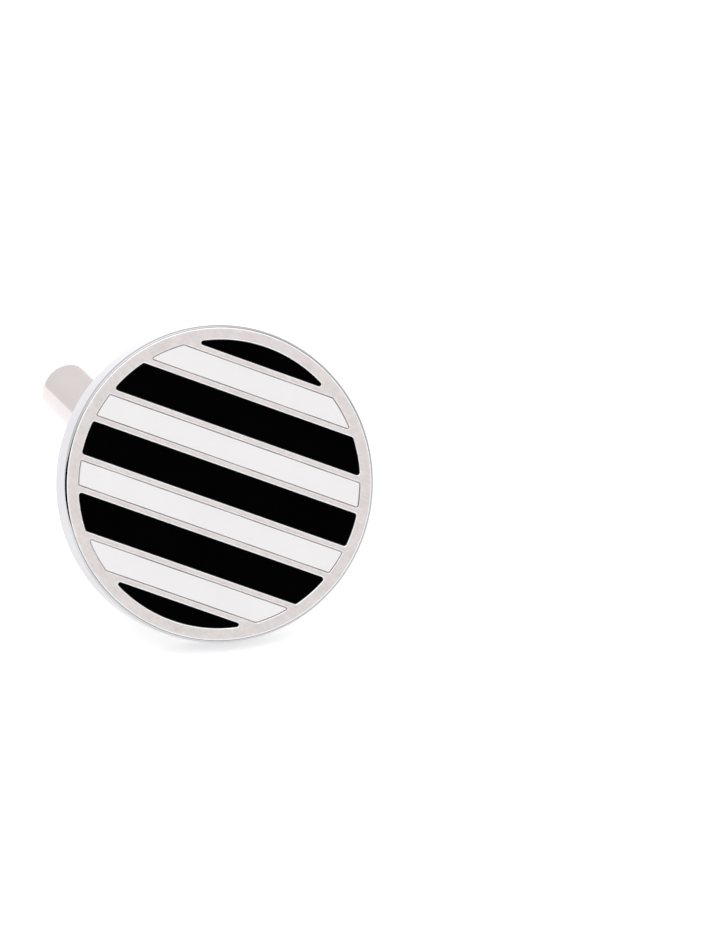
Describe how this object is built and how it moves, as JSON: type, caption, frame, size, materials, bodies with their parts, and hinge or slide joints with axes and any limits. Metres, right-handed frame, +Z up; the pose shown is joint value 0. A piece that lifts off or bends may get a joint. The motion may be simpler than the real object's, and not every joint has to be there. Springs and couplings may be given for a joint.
{
  "type": "cufflink",
  "caption": "Round cufflink with diagonal black and white enamel stripes between metal walls, a forked post and a swivelling bar toggle.",
  "frame": {"origin": "on the table, under the middle of the piece's bounding box", "axes": "+Z up from the table; the face looks towards -Y and 21 degrees up; the post and the toggle run back towards +Y; +X is to the right seen from the face"},
  "size_m": [0.017, 0.0284, 0.0166],
  "materials": {
    "plated_metal": "bright white plating, satin on the flat face and polished on the rim, back and fork",
    "toggle_metal": "polished",
    "black_enamel": "opaque hard enamel, polished",
    "white_enamel": "opaque hard enamel, polished"
  },
  "bodies": {
    "root": {"metal_body": "plated_metal", "black_stripe_1": "black_enamel", "black_stripe_2": "black_enamel", "black_stripe_3": "black_enamel", "black_stripe_4": "black_enamel", "black_stripe_5": "black_enamel", "white_stripe_1": "white_enamel", "white_stripe_2": "white_enamel", "white_stripe_3": "white_enamel", "white_stripe_4": "white_enamel", "hinge_pin": "toggle_metal"},
    "toggle": {"toggle": "toggle_metal"}
  },
  "joints": [
    {"name": "toggle_swivel", "type": "hinge", "parent": "root", "child": "toggle", "pos_m": [0, 0.00395, 0.00299], "axis": [-0.866, -0.1754, -0.4682], "range_deg": [-146.7, 33.3]}
  ]
}
